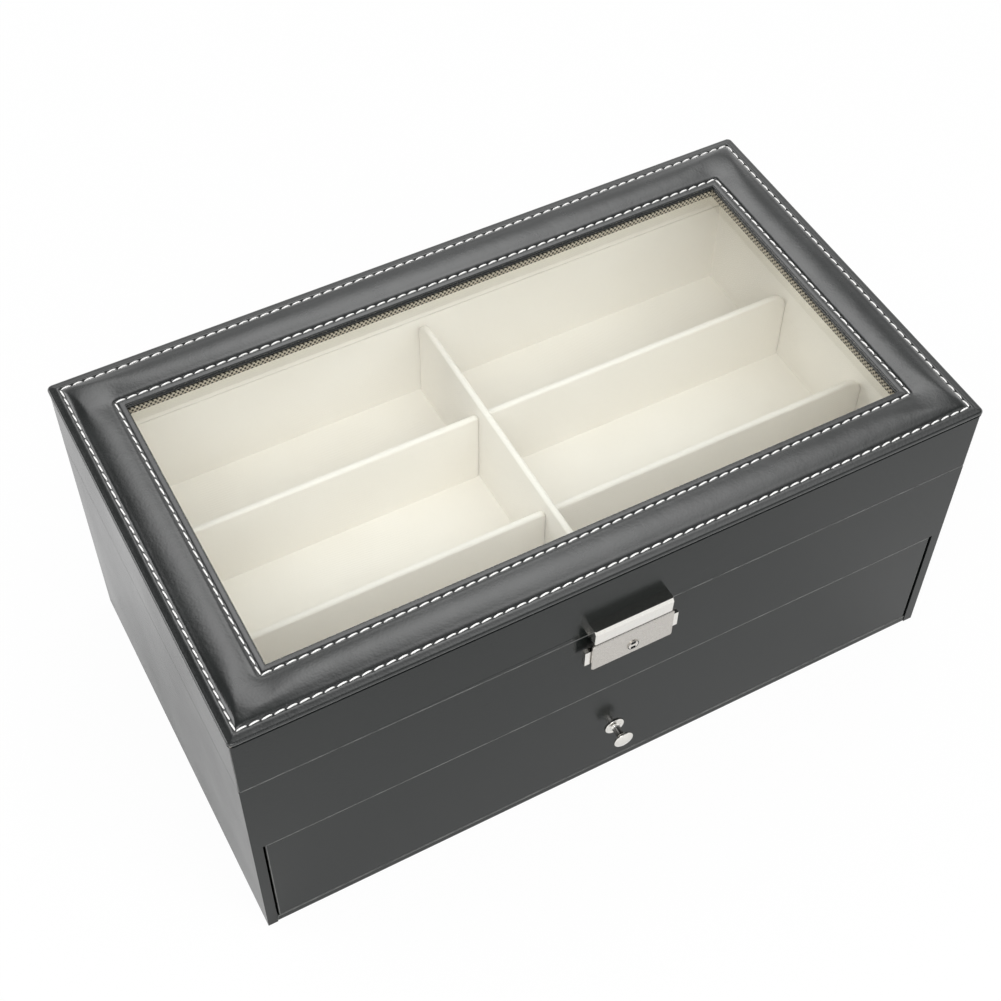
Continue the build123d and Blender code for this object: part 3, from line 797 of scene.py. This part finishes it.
# Where the leather is tucked under the lip and the board, shine and coat are left off: painted shade in the
# groove.
tucked = node(tree, "ShaderNodeSeparateXYZ", {"Vector": place})
unshaded_coat = node(
    tree,
    "ShaderNodeMapRange",
    {
        "Value": tucked.outputs["Z"],
        "From Min": (BOARD_LOW + TUCK - 0.05) * MM,
        "From Max": (BOARD_LOW + TUCK + 0.1) * MM,
        "To Min": 0.0,
        "To Max": 0.9,
    },
)
unshaded_shine = node(tree, "ShaderNodeMath", {0: unshaded_coat.outputs[0], 1: 0.55}, operation="MULTIPLY")
leather = node(
    tree,
    "ShaderNodeBsdfPrincipled",
    {
        "Base Color": skin.outputs[2],
        "Roughness": gloss.outputs[0],
        "Normal": folds.outputs[0],
        "IOR": 1.5,
        "Specular IOR Level": unshaded_shine.outputs[0],
        "Coat Weight": unshaded_coat.outputs[0],
        "Coat Roughness": 0.22,
        "Coat IOR": 1.5,
        "Coat Normal": folds.outputs[0],
    },
)
tree.links.new(leather.outputs[0], out.inputs["Surface"])
padded_border.data.materials.append(border_leather)

# Border stitching.
# Two rows of white bonded polyester thread, lock-stitched through the leather at about five millimetres a
# stitch, one near the outer edge and one round the window.

# Bonded polyester thread, white: two plies twisted together, with a faint gloss.
white_thread, tree, out, place = finish_named("white_bonded_thread")
PLY = 0.7255  # mm from one turn of the twist to the next
twist = node(
    tree,
    "ShaderNodeTexWave",
    {"Vector": place, "Scale": DIAGONAL_WAVE / (PLY * MM), "Distortion": 0.4},
    wave_type="BANDS",
    bands_direction="DIAGONAL",
)
FUZZ = 0.4  # mm between loose fibres; the real ones are about 0.1, drawn coarser so that they show
fuzz = node(tree, "ShaderNodeTexNoise", {"Vector": place, "Scale": 1 / (FUZZ * MM)})
thread_tone = node(
    tree,
    "ShaderNodeMix",
    {0: twist.outputs["Fac"], 6: colour("#f4f3ef"), 7: colour("#ffffff")},
    data_type="RGBA",
)
plies = node(tree, "ShaderNodeBump", {"Height": twist.outputs["Fac"], "Strength": 0.4, "Distance": 0.0002})
thread_gloss = node(
    tree,
    "ShaderNodeMapRange",
    {"Value": fuzz.outputs["Fac"], "To Min": 0.45, "To Max": 0.7},
)
thread = node(
    tree,
    "ShaderNodeBsdfPrincipled",
    {
        "Base Color": thread_tone.outputs[2],
        "Roughness": thread_gloss.outputs[0],
        "Normal": plies.outputs[0],
    },
)
tree.links.new(thread.outputs[0], out.inputs["Surface"])

THREAD_HALF = 0.37  # half the thread's thickness in mm, flattened by the sewing foot
THREAD_LOW = 0.5  # mm below the leather's flat top where a stitch dives in
THREAD_BOW = 0.42  # mm that it rises from there


def stitch_row(name, inset):
    """One row of stitches all round the border, each a short bowed thread that dives in at both ends."""
    vertices = []
    faces = []
    rings = 7
    around = 8
    for start, along, length, stitches in border_sides(inset):
        across = Vector((-along.y, along.x))
        count = stitches[inset]
        pitch = length / count
        for number in range(count):
            first = len(vertices)
            lean = 0.1 + 0.05 * noise.noise(Vector((number * 3.7, inset, length)))
            for ring in range(rings):
                share = ring / (rings - 1)
                run = pitch * (number + 0.08 + 0.84 * share)
                middle = start + along * run + across * lean * (share - 0.5) * 4
                bow = math.sin(math.pi * share)
                thick = THREAD_HALF * (0.55 + 0.45 * bow ** 0.5)
                level = FLAT_TOP - THREAD_LOW + THREAD_BOW * bow ** 0.6
                for spoke in range(around):
                    angle = 2 * math.pi * spoke / around
                    side = middle + across * thick * math.cos(angle)
                    vertices.append(
                        (side.x * MM, (side.y + BORDER_MID_Y) * MM, (level + thick * math.sin(angle)) * MM)
                    )
            for ring in range(rings - 1):
                for spoke in range(around):
                    after = (spoke + 1) % around
                    low = first + ring * around
                    faces.append((low + spoke, low + after, low + around + after, low + around + spoke))
            faces.append(tuple(first + spoke for spoke in reversed(range(around))))
            faces.append(tuple(first + (rings - 1) * around + spoke for spoke in range(around)))
    mesh = bpy.data.meshes.new(name)
    mesh.from_pydata(vertices, [], faces)
    mesh.polygons.foreach_set("use_smooth", [True] * len(mesh.polygons))
    mesh.update()
    row = bpy.data.objects.new(name, mesh)
    bpy.context.scene.collection.objects.link(row)
    row.data.materials.append(white_thread)
    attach(row, "lid")
    return row


stitch_row("outer_stitch_row", OUTER_ROW)
stitch_row("inner_stitch_row", INNER_ROW)

# Window edging.
# Narrow woven tape glued round the inside of the window opening, khaki with dark picks along both edges.

# Woven polyester tape, khaki: matt, with two rows of dark picks that step past each other.
woven_tape, tree, out, place = finish_named("khaki_woven_tape")
PICK = 2.0  # mm from one dark pick to the next along the tape
ROW_GAP = 1.3  # mm between the two rows of picks
at = node(tree, "ShaderNodeSeparateXYZ", {"Vector": place})
run = node(tree, "ShaderNodeMath", {0: at.outputs["X"], 1: at.outputs["Y"]}, operation="ADD")
run = node(tree, "ShaderNodeMath", {0: run.outputs[0], 1: 2 * math.pi / (PICK * MM)}, operation="MULTIPLY")
over = node(tree, "ShaderNodeMath", {0: run.outputs[0]}, operation="SINE")
rise = node(
    tree, "ShaderNodeMath", {0: at.outputs["Z"], 1: math.pi / (ROW_GAP * MM)}, operation="MULTIPLY"
)
under = node(tree, "ShaderNodeMath", {0: rise.outputs[0]}, operation="SINE")
pick = node(tree, "ShaderNodeMath", {0: over.outputs[0], 1: under.outputs[0]}, operation="MULTIPLY")
shown = node(
    tree,
    "ShaderNodeMapRange",
    {"Value": pick.outputs[0], "From Min": -0.1, "From Max": 0.3},
    interpolation_type="SMOOTHSTEP",
)
YARN = 1.11  # mm between paler and darker yarns; the real ones are about 0.4, drawn coarser to show
fluff = node(tree, "ShaderNodeTexNoise", {"Vector": place, "Scale": 1 / (YARN * MM), "Detail": 2.0})
ground = node(
    tree,
    "ShaderNodeMix",
    {0: fluff.outputs["Fac"], 6: colour("#938c7a"), 7: colour("#cbc4b2")},
    data_type="RGBA",
)
tape_tone = node(
    tree,
    "ShaderNodeMix",
    {0: shown.outputs[0], 6: ground.outputs[2], 7: colour("#2a2722")},
    data_type="RGBA",
)
threads = node(tree, "ShaderNodeBump", {"Height": pick.outputs[0], "Strength": 0.5, "Distance": 0.0002})
tape = node(
    tree,
    "ShaderNodeBsdfPrincipled",
    {"Base Color": tape_tone.outputs[2], "Roughness": 0.8, "Normal": threads.outputs[0]},
)
tree.links.new(tape.outputs[0], out.inputs["Surface"])
cover(["window_tape"], woven_tape)

# Window glass.
# A two millimetre pane of float glass, held up against the lid panel by the retainer.

# Float glass: clear, a faint green, mirror smooth with a trace of dust and wiping.
float_glass, tree, out, place = finish_named("clear_float_glass")
WIPE = 45.5  # mm across a wiping mark
wiped = node(tree, "ShaderNodeTexNoise", {"Vector": place, "Scale": 1 / (WIPE * MM), "Detail": 4.0})
film = node(
    tree,
    "ShaderNodeMapRange",
    {"Value": wiped.outputs["Fac"], "From Min": 0.35, "From Max": 0.7, "To Min": 0.01, "To Max": 0.05},
)
seen_through = node(tree, "ShaderNodeBsdfTransparent", {"Color": colour("#fcfdfc")})
mirrored = node(tree, "ShaderNodeBsdfGlossy", {"Color": colour("#ffffff"), "Roughness": film.outputs[0]})
angle = node(tree, "ShaderNodeFresnel", {"IOR": 1.5})
face = node(tree, "ShaderNodeNewGeometry")
outside = node(tree, "ShaderNodeMath", {0: 1.0, 1: face.outputs["Backfacing"]}, operation="SUBTRACT")
mirror_share = node(
    tree,
    "ShaderNodeMath",
    {0: angle.outputs[0], 1: outside.outputs[0]},
    operation="MULTIPLY",
    use_clamp=True,
)
pane = node(
    tree,
    "ShaderNodeMixShader",
    {0: mirror_share.outputs[0], 1: seen_through.outputs[0], 2: mirrored.outputs[0]},
)
tree.links.new(pane.outputs[0], out.inputs["Surface"])
cover(["window_glass"], float_glass)

# Glass retainer and lid lining.
# A card frame that holds the glass and four card walls inside the lid, all wrapped in the lining cloth.

cover(["glass_retainer", "lid_wall_lining"], lining_cloth)

# Press lock.
# A pressed nickel face plate on a housing with a sprung slider; its two ears stick out beside the plate and
# are pressed down to open. A small key cylinder sits in the middle of the plate.

# Satin nickel plating: fine even brushing that spreads each reflection.
satin_nickel, tree, out, place = finish_named("satin_nickel_plating")
SATIN = 0.556  # mm between brushing marks; the real ones are about 0.1, drawn coarser so that they show
brushing = node(tree, "ShaderNodeTexNoise", {"Vector": place, "Scale": 1 / (SATIN * MM), "Detail": 2.0})
satin = node(
    tree,
    "ShaderNodeMapRange",
    {"Value": brushing.outputs["Fac"], "From Min": 0.3, "From Max": 0.7, "To Min": 0.24, "To Max": 0.36},
)
satin_tone = node(
    tree,
    "ShaderNodeMix",
    {0: brushing.outputs["Fac"], 6: colour("#cdc9c3"), 7: colour("#c2beb8")},
    data_type="RGBA",
)
lines = node(
    tree,
    "ShaderNodeBump",
    {"Height": brushing.outputs["Fac"], "Strength": 0.05, "Distance": 0.0001},
)
metal = node(
    tree,
    "ShaderNodeBsdfPrincipled",
    {
        "Base Color": satin_tone.outputs[2],
        "Metallic": 1.0,
        "Roughness": satin.outputs[0],
        "Normal": lines.outputs[0],
    },
)
tree.links.new(metal.outputs[0], out.inputs["Surface"])
cover(["lock_plate", "lock_housing"], satin_nickel)
cover(["lock_slider"], bright_nickel)

# The key cylinder's face: the same plating, with painted shade in its slots and in the groove round it.
keyway_nickel, tree, out, place = finish_named("nickel_with_painted_keyway_shade")
CYLINDER_Z = 104.0  # mm; the cylinder's axis
SLOT_HALF = 1.1  # half the width of each slot
SLOT_APART = 1.4  # from the axis to the middle of each slot
SLOT_RISE = 0.72  # half the height of each slot
GROOVE = 2.45  # radius of the groove round the cylinder
GROOVE_HALF = 0.2
at = node(tree, "ShaderNodeSeparateXYZ", {"Vector": place})
aside = node(tree, "ShaderNodeMath", {0: at.outputs["X"]}, operation="ABSOLUTE")
above = node(tree, "ShaderNodeMath", {0: at.outputs["Z"], 1: CYLINDER_Z * MM}, operation="SUBTRACT")
apart = node(tree, "ShaderNodeMath", {0: above.outputs[0]}, operation="ABSOLUTE")
apart = node(tree, "ShaderNodeMath", {0: apart.outputs[0], 1: SLOT_APART * MM}, operation="SUBTRACT")
apart = node(tree, "ShaderNodeMath", {0: apart.outputs[0]}, operation="ABSOLUTE")
in_width = node(tree, "ShaderNodeMath", {0: aside.outputs[0], 1: SLOT_HALF * MM}, operation="LESS_THAN")
in_height = node(tree, "ShaderNodeMath", {0: apart.outputs[0], 1: SLOT_RISE * MM}, operation="LESS_THAN")
in_slot = node(
    tree,
    "ShaderNodeMath",
    {0: in_width.outputs[0], 1: in_height.outputs[0]},
    operation="MULTIPLY",
)
from_axis = node(tree, "ShaderNodeCombineXYZ", {"X": at.outputs["X"], "Z": above.outputs[0]})
from_axis = node(tree, "ShaderNodeVectorMath", {0: from_axis.outputs[0]}, operation="LENGTH")
in_groove = node(
    tree,
    "ShaderNodeMath",
    {0: from_axis.outputs["Value"], 1: GROOVE * MM, 2: GROOVE_HALF * MM},
    operation="COMPARE",
)
keyway_shade = node(tree, "ShaderNodeMath", {0: in_slot.outputs[0], 1: in_groove.outputs[0]}, operation="MAXIMUM")
SCUFF = 1.11  # mm between the marks that keys have left
scuff = node(tree, "ShaderNodeTexNoise", {"Vector": place, "Scale": 1 / (SCUFF * MM), "Detail": 3.0})
face_tone = node(
    tree,
    "ShaderNodeMix",
    {0: scuff.outputs["Fac"], 6: colour("#e6e2dc"), 7: colour("#d2cec7")},
    data_type="RGBA",
)
# Painted shade: the slots and the groove are coloured near black.
face_tone = node(
    tree,
    "ShaderNodeMix",
    {0: keyway_shade.outputs[0], 6: face_tone.outputs[2], 7: colour("#0b0a09")},
    data_type="RGBA",
)
face_gloss = node(
    tree,
    "ShaderNodeMapRange",
    {"Value": scuff.outputs["Fac"], "From Min": 0.3, "From Max": 0.7, "To Min": 0.12, "To Max": 0.24},
)
keyed = node(
    tree,
    "ShaderNodeBsdfPrincipled",
    {"Base Color": face_tone.outputs[2], "Metallic": 1.0, "Roughness": face_gloss.outputs[0]},
)
tree.links.new(keyed.outputs[0], out.inputs["Surface"])
cover(["lock_cylinder"], keyway_nickel)
cover(["lock_screws", "lock_springs"], zinc_steel)

# Hasp.
# The upper half of the lock: a bright cast bar on the lid with a steel hook behind it that drops into the
# housing, held by screws through the lid wall.

cover(["lid_hasp"], bright_nickel)
cover(["hasp_hook"], satin_nickel)
cover(["hasp_screws"], zinc_steel)

# Hinges.
# Two pressed nickel butt hinges on the back, each with a steel pin and small steel screws.

cover(
    ["hinge_left_case_leaf", "hinge_left_lid_leaf", "hinge_right_case_leaf", "hinge_right_lid_leaf"],
    satin_nickel,
)
cover(["hinge_left_pin", "hinge_right_pin", "hinge_case_screws", "hinge_lid_screws"], zinc_steel)

# Studio.
# A plain white sweep, soft boxes to the left and in front, a soft even sky, and the camera above the front
# left corner, where a fit to the box's edges in the picture puts it.

floor_mesh = bpy.data.meshes.new("studio_floor")
REACH = 4.0  # metres from the middle to each edge
floor_mesh.from_pydata(
    [(-REACH, -REACH, 0), (REACH, -REACH, 0), (REACH, REACH, 0), (-REACH, REACH, 0)], [], [(0, 1, 2, 3)]
)
studio_floor = bpy.data.objects.new("studio_floor", floor_mesh)
bpy.context.scene.collection.objects.link(studio_floor)

# Seamless studio paper, white: seen and mirrored as white, and it still takes the soft shadow of the box.
sweep, tree, out, place = finish_named("white_studio_paper")
ray = node(tree, "ShaderNodeLightPath")
seen = node(
    tree,
    "ShaderNodeMath",
    {0: ray.outputs["Is Camera Ray"], 1: ray.outputs["Is Transmission Ray"]},
    operation="MAXIMUM",
)
seen = node(tree, "ShaderNodeMath", {0: seen.outputs[0], 1: 0.95}, operation="MULTIPLY")
# Just in front of the box the paper's mirror image is painted dimmer, as shade from the camera and its stand
# would make it.
shaded = node(
    tree,
    "ShaderNodeVectorMath",
    {0: place, 1: (-0.06, -0.16, 0.0)},
    operation="DISTANCE",
)
lit = node(
    tree,
    "ShaderNodeMapRange",
    {"Value": shaded.outputs["Value"], "From Min": 0.22, "From Max": 0.36, "To Min": 0.2, "To Max": 1.0},
    interpolation_type="SMOOTHSTEP",
)
across = node(tree, "ShaderNodeSeparateXYZ", {"Vector": place})
beside = node(
    tree,
    "ShaderNodeMapRange",
    {"Value": across.outputs["X"], "From Min": 0.1, "From Max": 0.21, "To Min": 0.0, "To Max": 1.0},
    interpolation_type="SMOOTHSTEP",
)
lit = node(tree, "ShaderNodeMath", {0: lit.outputs[0], 1: beside.outputs[0]}, operation="MAXIMUM")
mirrored = node(
    tree, "ShaderNodeMath", {0: ray.outputs["Is Glossy Ray"], 1: lit.outputs[0]}, operation="MULTIPLY"
)
share = node(tree, "ShaderNodeMath", {0: seen.outputs[0], 1: mirrored.outputs[0]}, operation="MAXIMUM")
paper = node(tree, "ShaderNodeBsdfDiffuse", {"Color": colour("#f2f2f2")})
white = node(tree, "ShaderNodeEmission", {"Color": colour("#ffffff"), "Strength": 1.0})
paper_mix = node(
    tree, "ShaderNodeMixShader", {0: share.outputs[0], 1: paper.outputs[0], 2: white.outputs[0]}
)
tree.links.new(paper_mix.outputs[0], out.inputs["Surface"])
studio_floor.data.materials.append(sweep)

world = bpy.data.worlds.new("studio")
bpy.context.scene.world = world
world.use_nodes = True
tree = world.node_tree
tree.nodes.clear()
ray = node(tree, "ShaderNodeLightPath")
seen = node(
    tree,
    "ShaderNodeMath",
    {0: ray.outputs["Is Camera Ray"], 1: ray.outputs["Is Transmission Ray"]},
    operation="MAXIMUM",
)
fill = node(tree, "ShaderNodeBackground", {"Color": colour("#ffffff"), "Strength": 0.7})
backdrop = node(tree, "ShaderNodeBackground", {"Color": colour("#ffffff"), "Strength": 1.0})
# In a mirror the white sweep ends at the studio's dim ceiling, with one wide soft glow above the box.
sky_place = tree.nodes.new("ShaderNodeTexCoord").outputs["Generated"]
height = node(tree, "ShaderNodeSeparateXYZ", {"Vector": sky_place})
ceiling = node(
    tree,
    "ShaderNodeMapRange",
    {"Value": height.outputs["Z"], "From Min": 0.35, "From Max": 0.75, "To Min": 1.0, "To Max": 0.12},
    interpolation_type="SMOOTHSTEP",
)
away = node(tree, "ShaderNodeVectorMath", {0: sky_place, 1: (0.27, 0.5, 0.81)}, operation="SUBTRACT")
away = node(tree, "ShaderNodeVectorMath", {0: away.outputs[0], 1: (4.3, 1.7, 6.5)}, operation="MULTIPLY")
away = node(tree, "ShaderNodeVectorMath", {0: away.outputs[0]}, operation="LENGTH")
glow = node(
    tree,
    "ShaderNodeMapRange",
    {"Value": away.outputs["Value"], "From Min": 0.0, "From Max": 1.9, "To Min": 2.9, "To Max": 0.0},
    interpolation_type="SMOOTHSTEP",
)
overhead = node(tree, "ShaderNodeMath", {0: ceiling.outputs[0], 1: glow.outputs[0]}, operation="ADD")
dimming = node(tree, "ShaderNodeBackground", {"Color": colour("#ffffff"), "Strength": overhead.outputs[0]})
sky = node(
    tree,
    "ShaderNodeMixShader",
    {0: ray.outputs["Is Glossy Ray"], 1: fill.outputs[0], 2: dimming.outputs[0]},
)
sky = node(tree, "ShaderNodeMixShader", {0: seen.outputs[0], 1: sky.outputs[0], 2: backdrop.outputs[0]})
node(tree, "ShaderNodeOutputWorld", {"Surface": sky.outputs[0]})


def softbox(name, place, size_x, size_y, radiance):
    """A rectangular soft light whose face has the given brightness, turned towards the box."""
    lamp = bpy.data.lights.new(name, "AREA")
    lamp.shape = "RECTANGLE"
    lamp.size = size_x
    lamp.size_y = size_y
    lamp.energy = radiance * size_x * size_y * math.pi
    holder = bpy.data.objects.new(name, lamp)
    bpy.context.scene.collection.objects.link(holder)
    holder.location = place
    holder.rotation_euler = (Vector((0.0, 0.0, 0.1)) - Vector(place)).to_track_quat("-Z", "Y").to_euler()
    return holder


softbox("left_softbox", (-1.3, 0.8, 0.9), 0.9, 0.9, 2.2)
softbox("front_softbox", (-0.65, -1.05, 1.5), 1.2, 1.0, 2.7)
# Two flagged softboxes fill the tray and cast no glare of their own on the nickel.
for flagged in (
    softbox("tray_softbox", (0.2, -0.8, 1.7), 1.3, 1.1, 1.3),
    softbox("low_softbox", (0.5, -1.5, 0.8), 1.0, 0.8, 2.6),
):
    flagged.visible_glossy = False

camera = bpy.data.cameras.new("studio_camera")
camera.lens = 62.6
camera.sensor_width = 36.0
camera.clip_start = 0.01
tripod = bpy.data.objects.new("studio_camera", camera)
bpy.context.scene.collection.objects.link(tripod)
right = Vector((0.8802, -0.4746, 0.0091)).normalized()
up = Vector((0.3689, 0.6960, 0.6161)).normalized()
back = right.cross(up).normalized()
up = back.cross(right).normalized()
aimed = Matrix((right, up, back)).transposed().to_4x4()
tripod.matrix_world = Matrix.Translation((-0.2340, -0.4111, 0.6889)) @ aimed
bpy.context.scene.camera = tripod
bpy.context.scene.view_settings.view_transform = "Standard"
